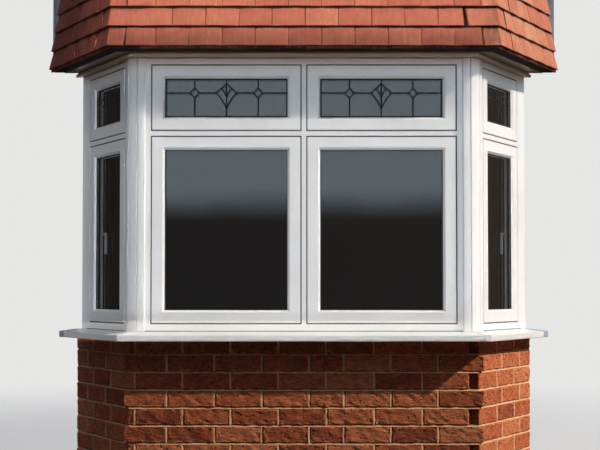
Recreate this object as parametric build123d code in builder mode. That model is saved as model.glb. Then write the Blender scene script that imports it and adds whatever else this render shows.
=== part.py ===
# A splayed ground-floor bay window of a 1930s house: a brick dwarf wall, white
# PVC-U flush-sash windows, and a tile-hung apron under a small lead flat.
# X runs to the right, Y runs back into the house, and Z is up. The house wall
# would stand on the plane Y = 0, and the ground is Z = 0. Sizes are in mm.
import math
import os

from build123d import *

os.makedirs("parts", exist_ok=True)

FACETS = ("front", "left", "right")

# Plan of the brick face
front_width = 1772
projection = 584
splay_angle = 58

# Brickwork and floor
wall_height = 900
wall_thickness = 230
plaster_thickness = 13
floor_thickness = 150

# Sill, with distances measured outwards from the brick face
sill_nose_out = 85
sill_back_out = -95
sill_rise = 30
sill_nose_rise = 14
sill_nose_drop = 17.5
sill_nose_round = 4
sill_lip_thickness = 15
cover_thickness = 2
cover_reach = 24
end_cap_length = 60

# Inside window board
board_thickness = 25
board_nosing = 30

# Window frames
frame_out = -20
frame_depth = 70
frame_height = 1412
frame_from_corner = 60
frame_from_wall = 68
frame_jamb = 34
frame_bottom_rail = 36.5
frame_head = 48
mullion_face = 24
transom_height = 1009.5
rebate_depth = 54
rebate_lip = 14
profile_round = 1.5

# Sashes and sealed units
sash_gap = 6
sash_face = 66
sash_bevel = 11.5
glass_recess = 12
glass_thickness = 28
glass_bite = 10
glass_edge_clearance = 2

# Window handles on the room side
handle_base_length = 70
handle_base_width = 22
handle_base_thickness = 9
handle_neck_radius = 7
handle_reach = 34
handle_lever_length = 118
handle_lever_width = 16
handle_lever_thickness = 10

# Corner posts
post_proud = 12
post_lap = 6
post_nose_from_corner = 22
post_groove_width = 7
post_groove_depth = 6
post_cover_bulge = 1.5
post_nose_bulge = 3
post_edge = 3

# Head board and soffit
head_board_out = 5
head_board_lap = 18
head_board_height = 28
head_bead_out = 8
head_bead_height = 16
head_bead_round = 6
soffit_thickness = 12
plate_depth = 100

# Tile-hung apron
course_count = 7
course_gauge = 102
course_step_back = 12
eaves_out = 105
eaves_lift = 16
side_extra_out = 40
undercourse_drop = 14
tile_thickness = 12
apron_thickness = 30
boarding_thickness = 20
rib_thickness = 50
rib_margin = 15
front_rib_count = 5
side_rib_count = 3

# Ceiling and roof
ceiling_thickness = 12.5
ceiling_joist_depth = 97
roof_joist_depth = 147
joist_thickness = 47
deck_thickness = 18
lead_thickness = 4
lead_flap = 72
lead_upstand = 75
flashing_width = 64
flashing_edge_in = 26

# Heights that follow from the sizes above
sill_top = wall_height + sill_rise
frame_top = sill_top + frame_height
transom_centre = sill_top + transom_height
head_board_bottom = frame_top - head_board_lap
soffit_bottom = head_board_bottom + head_board_height
soffit_top = soffit_bottom + soffit_thickness
eaves_height = soffit_bottom + eaves_lift
apron_top = eaves_height + course_count * course_gauge
deck_top = apron_top + deck_thickness

# Distances outside the brick face that follow from the sizes above
frame_back_out = frame_out - frame_depth
plate_inner_out = frame_out - plate_depth
apron_slope = course_step_back / course_gauge
soffit_out = eaves_out - apron_thickness - apron_slope * (soffit_top - eaves_height)

splay = math.radians(splay_angle)
run = 2 * (front_width + projection)


def corner_point(out_front, out_side=None):
    """Right-hand plan corner of lines this far outside the brick faces."""
    out_side = out_front if out_side is None else out_side
    x = front_width / 2 + out_side / math.sin(splay) - out_front / math.tan(splay)
    return x, -(projection + out_front)


def wall_point(out_side):
    """Where such a line on the right-hand side meets the house wall."""
    return front_width / 2 + projection / math.tan(splay) + out_side / math.sin(splay), 0


def band_points(facet, outer, inner, outer_extra=0):
    """Plan of a mitred band on one facet; outer_extra is what a side has more."""
    a, b = corner_point(outer, outer + outer_extra), corner_point(inner)
    if facet == "front":
        return [(-a[0], a[1]), a, b, (-b[0], b[1])]
    points = [a, wall_point(outer + outer_extra), wall_point(inner), b]
    return points if facet == "right" else [(-x, y) for x, y in points]


def whole_plan(out_front, side_extra=0):
    """Plan of the whole bay inside one line, back to the house wall."""
    a, b = corner_point(out_front, out_front + side_extra), wall_point(out_front + side_extra)
    return [(-b[0], b[1]), (-a[0], a[1]), a, b]


def outward(facet):
    """Unit vector that points out of the facet."""
    side = {"front": 0, "left": -1, "right": 1}[facet]
    if side == 0:
        return Vector(0, -1, 0)
    return Vector(side * math.sin(splay), -math.cos(splay), 0)


def facet_origin(facet, out):
    """Ground point from which places along a facet are measured."""
    if facet == "front":
        return Vector(0, -(projection + out), 0)
    x, y = corner_point(frame_out)
    foot = Vector(x if facet == "right" else -x, y, 0)
    return foot + outward(facet) * (out - frame_out)


def section_plane(facet, side_extra=0, place=0):
    """Cross-section plane: local x is the distance outside the brick, y is height."""
    n = outward(facet)
    origin = facet_origin(facet, 0 if facet == "front" else side_extra)
    along = Vector(0, 0, 1).cross(n)
    return Plane(origin=origin + along * place, x_dir=n, z_dir=n.cross(Vector(0, 0, 1)))


def face_plane(facet, out):
    """Elevation plane: local x runs along the facet, y is height, z is outward."""
    n = outward(facet)
    return Plane(origin=facet_origin(facet, out), x_dir=Vector(0, 0, 1).cross(n), z_dir=n)


def mitre_plane(side, side_extra=0):
    """Upright plane of the mitre; its positive side is the side facet."""
    x, y = corner_point(0, side_extra)
    sign = 1 if side == "right" else -1
    return Plane(origin=(sign * x, y, 0), z_dir=(sign, math.tan(splay / 2), 0))


def trim_to_facet(facet, side_extra=0, wall_gap=0):
    """Cut the open part to its mitres and to the house wall."""
    if facet == "front":
        split(bisect_by=mitre_plane("right", side_extra), keep=Keep.BOTTOM)
        split(bisect_by=mitre_plane("left", side_extra), keep=Keep.BOTTOM)
    else:
        split(bisect_by=mitre_plane(facet, side_extra), keep=Keep.TOP)
        split(bisect_by=Plane.XZ.offset(wall_gap), keep=Keep.TOP)


def side_start(out):
    """Place along a side facet where a line this far out leaves the mitre."""
    return (frame_out - out) * math.tan(splay / 2)


def side_end(out):
    """Place along a side facet where a line this far out meets the house wall."""
    return (projection + frame_out + (out - frame_out) * math.cos(splay)) / math.sin(splay)


def save(piece, name):
    """Label the piece and write it under the same name."""
    piece.part.label = name
    export_step(piece.part, f"parts/{name}.step")


# Concrete floor inside the walls
with BuildPart() as floor_slab:
    with BuildSketch():
        Polygon(*whole_plan(-wall_thickness), align=None)
    extrude(amount=floor_thickness)
save(floor_slab, "floor_slab")

# One-brick dwarf wall and the plaster on its room side, in three mitred lengths
plaster_out = -(wall_thickness + plaster_thickness)
for facet in FACETS:
    with BuildPart() as dwarf_wall:
        with BuildSketch():
            Polygon(*band_points(facet, 0, -wall_thickness), align=None)
        extrude(amount=wall_height)
    save(dwarf_wall, f"dwarf_wall_{facet}")

    with BuildPart() as plaster:
        with BuildSketch(Plane.XY.offset(floor_thickness)):
            Polygon(*band_points(facet, -wall_thickness, plaster_out), align=None)
        extrude(amount=wall_height - floor_thickness)
    save(plaster, f"inner_plaster_{facet}")

# Section of the sill, sloping to a hanging nose, and of the strips that cover it
with BuildSketch() as sill_section:
    nose_bottom = wall_height - sill_nose_drop
    lip_back = sill_nose_out - sill_lip_thickness
    with BuildLine():
        Polyline(
            (sill_back_out, wall_height),
            (lip_back, wall_height),
            (lip_back, nose_bottom),
            (sill_nose_out, nose_bottom),
            (sill_nose_out, wall_height + sill_nose_rise),
            (frame_out, sill_top),
            (sill_back_out, sill_top),
            close=True,
        )
    make_face()
    fillet(sill_section.vertices().group_by(Axis.X)[-1], sill_nose_round)

with BuildSketch() as cover_section:
    add(sill_section.sketch)
    offset(amount=cover_thickness)
    add(sill_section.sketch, mode=Mode.SUBTRACT)
    cover_back = frame_out + post_proud + post_nose_bulge
    cover_width = sill_nose_out + cover_thickness - cover_back
    with Locations((cover_back, nose_bottom)):
        Rectangle(cover_width, run, align=Align.MIN, mode=Mode.INTERSECT)
    with Locations((sill_nose_out - sill_nose_round, wall_height)):
        Rectangle(run, run, align=Align.MAX, mode=Mode.SUBTRACT)

for facet in FACETS:
    with BuildPart() as sill:
        with BuildSketch(section_plane(facet)):
            add(sill_section.sketch)
        extrude(amount=run, both=True)
        trim_to_facet(facet)
    save(sill, f"sill_{facet}")


def cover_length(facet, near, near_keep, far, far_keep):
    """A length of the cover strip on one facet, between two planes."""
    with BuildPart() as length:
        with BuildSketch(section_plane(facet)):
            add(cover_section.sketch)
        extrude(amount=run, both=True)
        split(bisect_by=near, keep=near_keep)
        split(bisect_by=far, keep=far_keep)
    return length.part


# Cover strips over the two mitres, and caps on the ends at the house wall
strips, caps = [], []
for side in ("left", "right"):
    mitre = mitre_plane(side)
    strips.append(cover_length("front", mitre, Keep.BOTTOM, mitre.offset(-cover_reach), Keep.TOP))
    strips.append(cover_length(side, mitre, Keep.TOP, mitre.offset(cover_reach), Keep.BOTTOM))
    cap_start = Plane.XZ.offset(end_cap_length * math.sin(splay))
    caps.append(cover_length(side, Plane.XZ, Keep.TOP, cap_start, Keep.BOTTOM))

with BuildPart() as sill_corner_covers:
    add(strips)
save(sill_corner_covers, "sill_corner_covers")

with BuildPart() as sill_end_caps:
    add(caps)
save(sill_end_caps, "sill_end_caps")

# Window boards on the inner half of the wall
for facet in FACETS:
    with BuildPart() as window_board:
        with BuildSketch(Plane.XY.offset(wall_height)):
            Polygon(*band_points(facet, sill_back_out, plaster_out - board_nosing), align=None)
        extrude(amount=board_thickness)
    save(window_board, f"window_board_{facet}")

# Outlines of the frames and of the openings in them, as (low, high) pairs
front_frame_half = corner_point(frame_out)[0] - frame_from_corner
side_frame_end = side_end(frame_out) - frame_from_wall
frame_spans = {
    "front": (-front_frame_half, front_frame_half),
    "right": (frame_from_corner, side_frame_end),
    "left": (-side_frame_end, -frame_from_corner),
}
rows = {
    "lower": (sill_top + frame_bottom_rail, transom_centre - mullion_face / 2),
    "upper": (transom_centre + mullion_face / 2, frame_top - frame_head),
}


def columns(facet):
    """The openings across a facet; the front has two, either side of the mullion."""
    low, high = frame_spans[facet][0] + frame_jamb, frame_spans[facet][1] - frame_jamb
    if facet == "front":
        return [(low, -mullion_face / 2), (mullion_face / 2, high)]
    return [(low, high)]


def pane(across, up, shrink=0, mode=Mode.ADD):
    """A rectangle between two edge pairs, drawn in by one amount all round."""
    width, height = across[1] - across[0] - 2 * shrink, up[1] - up[0] - 2 * shrink
    with Locations(((across[0] + across[1]) / 2, (up[0] + up[1]) / 2)):
        Rectangle(width, height, mode=mode)


def outer_face(piece, facet):
    """The flat face of a window piece that looks out of the facet."""
    return piece.faces().sort_by(Axis((0, 0, 0), outward(facet)))[-1]


# Outer frames with mullion and transom, rebated for the sashes
for facet in FACETS:
    with BuildPart() as frame:
        for step_out, depth, lip in (
            (frame_out, rebate_depth, 0),
            (frame_out - rebate_depth, frame_depth - rebate_depth, rebate_lip),
        ):
            with BuildSketch(face_plane(facet, step_out)):
                pane(frame_spans[facet], (sill_top, frame_top))
                for column in columns(facet):
                    for row in rows.values():
                        pane(column, row, lip, mode=Mode.SUBTRACT)
            extrude(amount=-depth)
        for opening in outer_face(frame, facet).inner_wires():
            fillet(opening.edges(), profile_round)
    save(frame, f"frame_{facet}")

# Flush sashes: a bevelled ring, a pocket for the sealed unit, and a bead behind
for facet in FACETS:
    for row_name, row in rows.items():
        for column, hand in zip(columns(facet), ("_left", "_right")):
            with BuildPart() as sash:
                with BuildSketch(face_plane(facet, frame_out)):
                    pane(column, row, sash_gap)
                    pane(column, row, sash_gap + sash_face, mode=Mode.SUBTRACT)
                extrude(amount=-rebate_depth)
                chamfer(outer_face(sash, facet).inner_wires()[0].edges(), sash_bevel)
                fillet(outer_face(sash, facet).outer_wire().edges(), profile_round)
                with BuildSketch(face_plane(facet, frame_out - glass_recess)):
                    pocket = glass_bite + glass_edge_clearance
                    pane(column, row, sash_gap + sash_face - pocket)
                extrude(amount=-glass_thickness, mode=Mode.SUBTRACT)
            save(sash, f"sash_{facet}_{row_name}" + (hand if facet == "front" else ""))

# Sealed glass units, seated in the sash pockets
for facet in FACETS:
    with BuildPart() as glass:
        with BuildSketch(face_plane(facet, frame_out - glass_recess)):
            for column in columns(facet):
                for row in rows.values():
                    pane(column, row, sash_gap + sash_face - glass_bite)
        extrude(amount=-glass_thickness)
    save(glass, f"glass_{facet}")

# Lever handles: upright on the tall sashes, level on the top lights
sash_back_out = frame_out - rebate_depth
stile = sash_gap + (rebate_lip - sash_gap + sash_face) / 2
handle_places = []
for facet in FACETS:
    for number, column in enumerate(columns(facet)):
        near_mullion = column[1] - stile if number == 0 else column[0] + stile
        far_from_post = column[0] + stile if facet == "left" else near_mullion
        lower, upper = rows["lower"], rows["upper"]
        handle_places.append((facet, far_from_post, (lower[0] + lower[1]) / 2, 90))
        handle_places.append((facet, (column[0] + column[1]) / 2, upper[0] + stile, 0))

with BuildPart() as window_handles:
    for facet, x, z, turn in handle_places:
        with BuildSketch(face_plane(facet, sash_back_out)):
            with Locations((x, z)):
                SlotOverall(handle_base_length, handle_base_width, rotation=turn)
        extrude(amount=-handle_base_thickness)
        with BuildSketch(face_plane(facet, sash_back_out)):
            with Locations((x, z)):
                Circle(handle_neck_radius)
        extrude(amount=-handle_reach)
        lever_out = sash_back_out - handle_reach + handle_lever_thickness
        swing = (handle_lever_length - handle_lever_width) / 2
        lever_x = x if turn else x + swing
        lever_z = z - swing if turn else z
        with BuildSketch(face_plane(facet, lever_out)):
            with Locations((lever_x, lever_z)):
                SlotOverall(handle_lever_length, handle_lever_width, rotation=turn)
        extrude(amount=-handle_lever_thickness)
save(window_handles, "window_handles")


def along_front(from_corner, out):
    """Plan point on the front facet, measured back from the frame-plane corner."""
    return corner_point(frame_out)[0] - from_corner, -(projection + out)


def bulged_arc(start, end, bulge):
    """Shallow arc that swells to the right of the way from start to end."""
    chord = Vector(*end) - Vector(*start)
    normal = Vector(chord.Y, -chord.X).normalized()
    ThreePointArc(start, (Vector(*start) + Vector(*end)) * 0.5 + normal * bulge, end)


# Corner posts: two covers and a rounded nose under the head boards, and a plain
# core behind them. Half the section is drawn on the front facet and mirrored.
post_out = frame_out + post_proud
cover_edge = frame_from_corner + post_lap
cover_start = along_front(cover_edge - post_edge, post_out)
cover_end = along_front(post_nose_from_corner + post_groove_width, post_out)
groove_middle = post_nose_from_corner + post_groove_width / 2
nose_start = along_front(post_nose_from_corner, post_out)
nose_width = corner_point(post_out)[0] - nose_start[0]
nose_out = post_out - nose_width * math.sin(splay) / 2 + post_nose_bulge * math.cos(splay / 2)
for side in ("right", "left"):
    with BuildPart() as post:
        with BuildSketch(Plane.XY.offset(sill_top)):
            with BuildLine():
                Polyline(
                    corner_point(frame_back_out),
                    along_front(frame_from_corner, frame_back_out),
                    along_front(frame_from_corner, frame_out),
                    along_front(cover_edge, frame_out),
                    along_front(cover_edge, post_out - post_edge),
                    cover_start,
                )
                bulged_arc(cover_start, cover_end, post_cover_bulge)
                groove_bottom = along_front(groove_middle, post_out - post_groove_depth)
                Polyline(cover_end, groove_bottom, nose_start)
                bulged_arc(nose_start, corner_point(nose_out), post_nose_bulge / 4)
                Line(corner_point(nose_out), corner_point(frame_back_out))
            make_face()
        extrude(amount=head_board_bottom - sill_top)
        with BuildSketch(Plane.XY.offset(head_board_bottom)):
            Polygon(
                corner_point(frame_back_out),
                along_front(frame_from_corner, frame_back_out),
                along_front(frame_from_corner, frame_out),
                corner_point(frame_out),
                align=None,
            )
        extrude(amount=frame_top - head_board_bottom)
        mirror(about=mitre_plane("right"))
        if side == "left":
            mirror(about=Plane.YZ, mode=Mode.REPLACE)
    save(post, f"corner_post_{side}")

# Jambs that close the side frames against the house wall
with BuildPart() as wall_jambs:
    for side in ("left", "right"):
        ends = (side_frame_end, run)
        span = ends if side == "right" else (-run, -side_frame_end)
        with BuildSketch(face_plane(side, frame_out)):
            pane(span, (sill_top, frame_top))
        extrude(amount=-frame_depth)
    split(bisect_by=Plane.XZ, keep=Keep.TOP)
save(wall_jambs, "wall_jambs")

# Head boards with a rounded bead along the foot
for facet in FACETS:
    with BuildPart() as head_board:
        with BuildSketch(section_plane(facet)) as board_section:
            bead_edge = head_board_out + head_bead_out
            with Locations((frame_out, head_board_bottom)):
                Rectangle(head_board_out - frame_out, head_board_height, align=Align.MIN)
                Rectangle(bead_edge - frame_out, head_bead_height, align=Align.MIN)
            bead = board_section.vertices().group_by(Axis((0, 0, 0), outward(facet)))[-1]
            fillet(bead, head_bead_round)
        extrude(amount=run, both=True)
        trim_to_facet(facet)
    save(head_board, f"head_board_{facet}")

# Soffit boards under the eaves, and timber plates over the window frames
for facet in FACETS:
    with BuildPart() as soffit:
        with BuildSketch(Plane.XY.offset(soffit_bottom)):
            Polygon(*band_points(facet, soffit_out, frame_out, side_extra_out), align=None)
        extrude(amount=soffit_thickness)
    save(soffit, f"soffit_{facet}")

    with BuildPart() as plate:
        with BuildSketch(Plane.XY.offset(frame_top)):
            Polygon(*band_points(facet, frame_out, plate_inner_out), align=None)
        extrude(amount=soffit_top - frame_top)
    save(plate, f"head_plate_{facet}")


def course_out(number):
    """How far the lower edge of a course stands outside the front brick face."""
    return eaves_out - number * course_step_back


def back_out(height):
    """How far the back of the tiles stands out at this height."""
    return eaves_out - apron_thickness - apron_slope * (height - eaves_height)


# Section of the hung tiles: an undercourse, then one step out at every course
under_edge = eaves_height - undercourse_drop
tile_steps = [
    (back_out(under_edge), under_edge),
    (eaves_out - tile_thickness, under_edge),
    (eaves_out - tile_thickness, eaves_height),
]
for number in range(course_count):
    height = eaves_height + number * course_gauge
    tile_steps.append((course_out(number), height))
    next_out = course_out(number + 1) - tile_thickness
    tile_steps.append((next_out, height + course_gauge))
tile_steps.append((back_out(apron_top), apron_top))

for facet in FACETS:
    with BuildPart() as tile_apron:
        with BuildSketch(section_plane(facet, side_extra_out)):
            Polygon(*tile_steps, align=None)
        extrude(amount=run, both=True)
        trim_to_facet(facet, side_extra_out, wall_gap=lead_thickness)
    save(tile_apron, f"tile_apron_{facet}")

# Boarding behind the tiles, leaning back with them and standing on the soffit
boarding_section = [
    (soffit_out, soffit_top),
    (back_out(apron_top), apron_top),
    (back_out(apron_top) - boarding_thickness, apron_top),
    (soffit_out - boarding_thickness, soffit_top),
]
for facet in FACETS:
    with BuildPart() as boarding:
        with BuildSketch(section_plane(facet, side_extra_out)):
            Polygon(*boarding_section, align=None)
        extrude(amount=run, both=True)
        trim_to_facet(facet, side_extra_out, wall_gap=lead_thickness)
    save(boarding, f"boarding_{facet}")


def even_places(low, high, count):
    """Middles of this many ribs, spread evenly with a margin at both ends."""
    inset = rib_margin + rib_thickness / 2
    first, last = low + inset, high - inset
    return [first + (last - first) * number / (count - 1) for number in range(count)]


# Ribs that stand on the plates and carry the boarding
inner_half = corner_point(plate_inner_out)[0]
front_places = even_places(-inner_half, inner_half, front_rib_count)
side_low, side_high = side_start(plate_inner_out), side_end(plate_inner_out)
side_places = even_places(side_low, side_high, side_rib_count)
rib_places = [("front", place) for place in front_places]
rib_places += [("right", place) for place in side_places]
rib_places += [("left", -place) for place in side_places]
with BuildPart() as apron_ribs:
    for facet, place in rib_places:
        extra = 0 if facet == "front" else side_extra_out
        foot = soffit_out - boarding_thickness + extra
        head = back_out(apron_top) - boarding_thickness + extra
        rib_section = [
            (plate_inner_out, soffit_top),
            (foot, soffit_top),
            (head, apron_top),
            (plate_inner_out, apron_top),
        ]
        with BuildSketch(section_plane(facet, place=place)):
            Polygon(*rib_section, align=None)
        extrude(amount=rib_thickness / 2, both=True)
save(apron_ribs, "apron_ribs")

# Ceiling of the bay, its joists, and the joists of the flat roof
with BuildPart() as ceiling_board:
    with BuildSketch(Plane.XY.offset(frame_top - ceiling_thickness)):
        Polygon(*whole_plan(frame_back_out), align=None)
    extrude(amount=ceiling_thickness)
save(ceiling_board, "ceiling_board")

joist_length = projection + plate_inner_out
for name, bottom, depth in (
    ("ceiling_joists", frame_top, ceiling_joist_depth),
    ("roof_joists", apron_top - roof_joist_depth, roof_joist_depth),
):
    with BuildPart() as joists:
        with BuildSketch(Plane.XY.offset(bottom)):
            with Locations(*[(place, -joist_length / 2) for place in front_places]):
                Rectangle(joist_thickness, joist_length)
        extrude(amount=depth)
    save(joists, name)

# Roof deck, and its lead covering dressed over the tiles and up the house wall
deck_out = course_out(course_count) - tile_thickness
with BuildPart() as roof_deck:
    with BuildSketch(Plane.XY.offset(apron_top)):
        Polygon(*whole_plan(deck_out, side_extra_out), align=None)
    extrude(amount=deck_thickness)
save(roof_deck, "roof_deck")

lead_top = deck_top + lead_thickness
flap_bottom = apron_top - lead_flap
flap_out = deck_out + lead_flap * (course_step_back + tile_thickness) / course_gauge
flap_section = [
    (deck_out, lead_top),
    (deck_out, apron_top),
    (flap_out, flap_bottom),
    (flap_out + lead_thickness, flap_bottom),
    (deck_out + lead_thickness, apron_top),
    (deck_out + lead_thickness, lead_top),
]
flaps = []
for facet in FACETS:
    with BuildPart() as flap:
        with BuildSketch(section_plane(facet, side_extra_out)):
            Polygon(*flap_section, align=None)
        extrude(amount=run, both=True)
        trim_to_facet(facet, side_extra_out)
    flaps.append(flap.part)

with BuildPart() as lead_roof:
    with BuildSketch(Plane.XY.offset(deck_top)):
        Polygon(*whole_plan(deck_out + lead_thickness, side_extra_out), align=None)
    extrude(amount=lead_thickness)
    add(flaps)
    upstand_half = wall_point(deck_out + lead_thickness + side_extra_out)[0]
    with BuildSketch(Plane.XY.offset(deck_top)):
        Rectangle(2 * upstand_half, lead_thickness, align=(Align.CENTER, Align.MAX))
    extrude(amount=lead_thickness + lead_upstand)
save(lead_roof, "lead_roof")

# Upright lead flashings on the house wall, behind the ends of the tiles
with BuildPart() as wall_flashings:
    flashing_edge = wall_point(eaves_out + side_extra_out)[0] - flashing_edge_in
    for sign in (1, -1):
        with BuildSketch(Plane.XY.offset(soffit_top)):
            with Locations((sign * (flashing_edge - flashing_width / 2), -lead_thickness / 2)):
                Rectangle(flashing_width, lead_thickness)
        extrude(amount=flap_bottom - soffit_top)
save(wall_flashings, "wall_flashings")
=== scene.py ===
# The splayed bay window of a 1930s house, in metres, dressed round its solids in the
# order in which it is put up: floor and brickwork, sill, windows, eaves, tiles and roof.
import functools
import math

import bmesh
import bpy
from mathutils import Matrix, Vector, noise


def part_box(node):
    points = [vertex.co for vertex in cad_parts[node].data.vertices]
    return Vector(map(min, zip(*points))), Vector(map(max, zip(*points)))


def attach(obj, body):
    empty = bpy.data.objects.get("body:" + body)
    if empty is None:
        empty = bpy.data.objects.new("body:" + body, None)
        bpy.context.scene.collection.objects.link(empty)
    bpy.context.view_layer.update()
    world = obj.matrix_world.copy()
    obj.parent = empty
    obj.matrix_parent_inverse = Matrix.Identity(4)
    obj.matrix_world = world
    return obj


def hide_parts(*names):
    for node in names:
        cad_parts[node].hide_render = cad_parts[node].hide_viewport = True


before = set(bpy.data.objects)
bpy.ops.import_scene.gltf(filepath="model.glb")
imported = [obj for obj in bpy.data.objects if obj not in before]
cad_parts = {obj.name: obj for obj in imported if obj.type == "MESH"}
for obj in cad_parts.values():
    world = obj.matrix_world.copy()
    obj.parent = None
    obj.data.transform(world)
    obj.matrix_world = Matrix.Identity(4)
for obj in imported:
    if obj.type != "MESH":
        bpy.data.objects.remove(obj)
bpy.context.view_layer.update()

# Floor slab: concrete cast between the dwarf walls and floated smooth with a
# trowel. It is left as a bare screed.


def linear(hex_colour):
    """An sRGB hex colour as the linear RGBA that the shaders work in."""
    channels = [int(hex_colour[place:place + 2], 16) / 255 for place in (1, 3, 5)]
    return [c / 12.92 if c <= 0.04045 else ((c + 0.055) / 1.055) ** 2.4 for c in channels] + [1]


def add_node(tree, kind, *values, **words):
    """Add a node, a shader node unless its kind says otherwise.

    Words in lower case are its settings. The other words, and the values in their
    order, go to its inputs, as plain values or as links.
    """
    node = tree.nodes.new(kind if "Node" in kind else "ShaderNode" + kind)
    for word, value in words.items():
        if word == "stops":
            ramp = node.color_ramp.elements
            while len(ramp) < len(value):
                ramp.new(1)
            for stop, (place, colour) in zip(ramp, value):
                stop.position = place
                stop.color = linear(colour)
        elif word[0].islower():
            setattr(node, word, value)
    named = [(word.replace("_", " "), words[word]) for word in words if word[0].isupper()]
    for word, value in [*enumerate(values), *named]:
        fits = [s for s in node.inputs if s.enabled and s.name == word]
        socket = node.inputs[word] if isinstance(word, int) else fits[0]
        if isinstance(value, bpy.types.Node):
            value = [s for s in value.outputs if s.enabled][0]
        if isinstance(value, bpy.types.NodeSocket):
            tree.links.new(value, socket)
        else:
            socket.default_value = value
    return node


def new_material(name):
    """An empty material, what adds nodes to it, and the place on the object in metres."""
    material = bpy.data.materials.new(name)
    material.use_nodes = True
    material.node_tree.nodes.clear()
    shade = functools.partial(add_node, material.node_tree)
    return material, shade, shade("TexCoord").outputs["Object"]


def mottled(name, patch, detail, stops, grain=None, blend=0.5, dullness=None, **finish):
    """A material mottled in patches of one size, with a relief of grains if they are given."""
    material, shade, place = new_material(name)
    patches = shade("TexNoise", Vector=place, Scale=1 / patch, Detail=detail, Roughness=blend)
    if grain:
        size, fineness, strength, depth = grain
        grains = shade("TexNoise", Vector=place, Scale=1 / size, Detail=fineness)
        finish["Normal"] = shade("Bump", Height=grains, Strength=strength, Distance=depth)
    if dullness:
        finish["Roughness"] = shade("MapRange", patches, 0, 1, *dullness)
    tones = shade("ValToRGB", patches, stops=stops)
    shade("OutputMaterial", shade("BsdfPrincipled", Base_Color=tones, **finish))
    return material


def finish_node(material, slot, *names):
    """Give CAD nodes a finish; their shape stays as it is."""
    for name in names:
        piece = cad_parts[name]
        piece.data.materials.clear()
        piece.data.materials.append(material)


# A matt grey, clouded where the trowel passed, with the grain of the aggregate.
trowel_patch = 0.12
aggregate_size = 0.006
concrete = mottled("Trowelled concrete", trowel_patch, 6, [(0.3, "#8C8880"), (0.7, "#A9A59C")],
                   (aggregate_size, 3, 0.3, 0.001), 0.6, Roughness=0.85)
finish_node(concrete, "concrete", "floor_slab")

# Dwarf wall: rough-faced red bricks in cement and sand mortar, ten courses high.
# At the corners the courses run past each other in turn, which leaves them toothed.
wall_low, wall_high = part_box("dwarf_wall_front")
corner_x = wall_high.x
projection = -wall_low.y
side_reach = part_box("dwarf_wall_right")[1].x - corner_x
splay = math.atan2(projection, side_reach)
facets = ("front", "left", "right")
facet_turns = {"front": 0, "left": -splay, "right": splay}
facet_length = projection / math.sin(splay)
wall_top = wall_high.z
wall_thickness = wall_high.y + projection

course_height = 0.09
brick = Vector((0.229, 0.11, 0.08))
brick_rounding = 0.004
joint = 0.011
tooth = 0.025
course_total = round(wall_top / course_height)
short_course = {"ends": (-0.848, 0.836), "joints": (-0.612, -0.37, -0.128, 0.115, 0.357, 0.6)}
long_course = {"ends": (-corner_x - tooth, corner_x + tooth),
               "joints": (-0.693, -0.451, -0.211, 0.028, 0.203, 0.441, 0.68)}
side_joints = {"short": (0.228, 0.462), "long": (0.295, 0.541)}
closer = (-0.884, -0.8585)
closer_back = 0.0015
wall_gap = 0.0005


def on_facet(facet):
    """Matrix from a facet's own frame: x along it, y into the house, z up."""
    side = {"front": 0, "left": -1, "right": 1}[facet]
    origin = Matrix.Translation((side * corner_x, -projection, 0))
    return origin @ Matrix.Rotation(facet_turns[facet], 4, "Z")


def new_piece(name, form, material):
    """A new object from a bmesh, with its place in its mesh."""
    mesh = bpy.data.meshes.new(name)
    form.to_mesh(mesh)
    form.free()
    mesh.materials.append(material)
    piece = bpy.data.objects.new(name, mesh)
    bpy.context.scene.collection.objects.link(piece)
    return piece


def fit(piece, slot, *replaced):
    """Fit the piece to the bay's one body, in the place of the CAD nodes named."""
    if replaced:
        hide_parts(*replaced)
    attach(piece, "root")


def rounded_block(size, radius, cuts, rim=0):
    """A block round the origin with eased arrises and cells, and a row along each arris."""
    form = bmesh.new()
    bmesh.ops.create_cube(form, size=1, matrix=Matrix.Diagonal((*size, 1)))
    bmesh.ops.bevel(form, geom=form.edges[:], offset=radius, segments=1,
                    profile=0.5, affect="EDGES")
    for axis, count in enumerate(cuts):
        normal = Vector([float(number == axis) for number in range(3)])
        places = [size[axis] * (number / count - 0.5) for number in range(1, count)]
        if rim and count > 1:
            places += [rim - size[axis] / 2, size[axis] / 2 - rim]
        for place in places:
            whole = form.verts[:] + form.edges[:] + form.faces[:]
            bmesh.ops.bisect_plane(form, geom=whole, plane_no=normal, plane_co=normal * place)
    return form


def cut_away(piece, point, normal):
    """Cut off what lies on the normal's side of a plane, and close the cuts."""
    form = bmesh.new()
    form.from_mesh(piece.data)
    whole = form.verts[:] + form.edges[:] + form.faces[:]
    bmesh.ops.bisect_plane(form, geom=whole, plane_co=point, plane_no=normal, clear_outer=True)
    bmesh.ops.holes_fill(form, edges=[edge for edge in form.edges if edge.is_boundary])
    form.to_mesh(piece.data)
    form.free()


def new_geometry_tree(name, **inputs):
    """A Geometry Nodes tree with an input for each size, and what adds nodes to it."""
    tree = bpy.data.node_groups.new(name, "GeometryNodeTree")
    tree.interface.new_socket("Geometry", in_out="INPUT", socket_type="NodeSocketGeometry")
    tree.interface.new_socket("Geometry", in_out="OUTPUT", socket_type="NodeSocketGeometry")
    for word, kind in inputs.items():
        tree.interface.new_socket(word, in_out="INPUT", socket_type=f"NodeSocket{kind}")
    build = functools.partial(add_node, tree)
    return tree, build, build("NodeGroupInput").outputs


def end_tree(build, sizes, geometry):
    """Turn the tree's instances into a mesh, coat it and send it out."""
    real = build("GeometryNodeRealizeInstances", Geometry=geometry)
    coated = build("GeometryNodeSetMaterial", Geometry=real, Material=sizes["Material"])
    build("NodeGroupOutput", Geometry=coated)


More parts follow.
